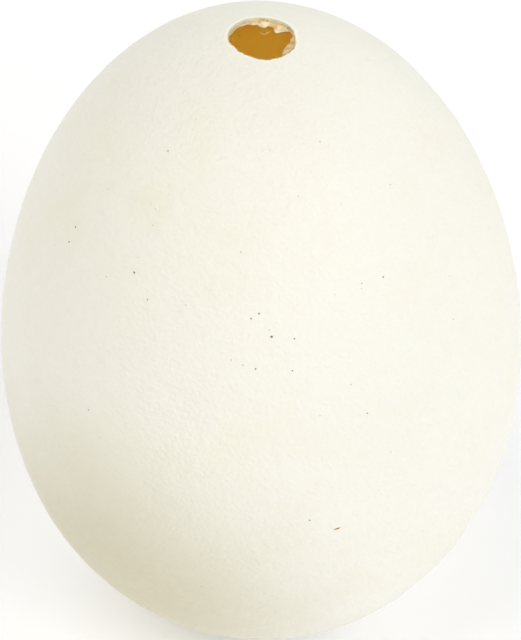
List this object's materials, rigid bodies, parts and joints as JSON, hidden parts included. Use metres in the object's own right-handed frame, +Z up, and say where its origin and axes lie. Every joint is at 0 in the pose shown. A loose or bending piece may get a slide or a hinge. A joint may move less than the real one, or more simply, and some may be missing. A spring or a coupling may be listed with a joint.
{
  "type": "goose egg",
  "caption": "Blown goose egg standing upright: a thin, hollow, creamy white shell with a round drilled hole in its pointed end and a small flat spot underneath.",
  "frame": {"origin": "centre of the small flat spot under the blunt end, on which the egg stands", "axes": "+Z up the egg's long axis, from the blunt end to the pointed end with the hole; -Y towards the side that faces the viewer, and +X to the viewer's right; the hole is a little off the axis, towards +X and +Y"},
  "size_m": [0.059, 0.059, 0.0784],
  "materials": {
    "shell": "matte",
    "membrane": "matte"
  },
  "bodies": {
    "root": {"eggshell": "shell"}
  },
  "joints": []
}
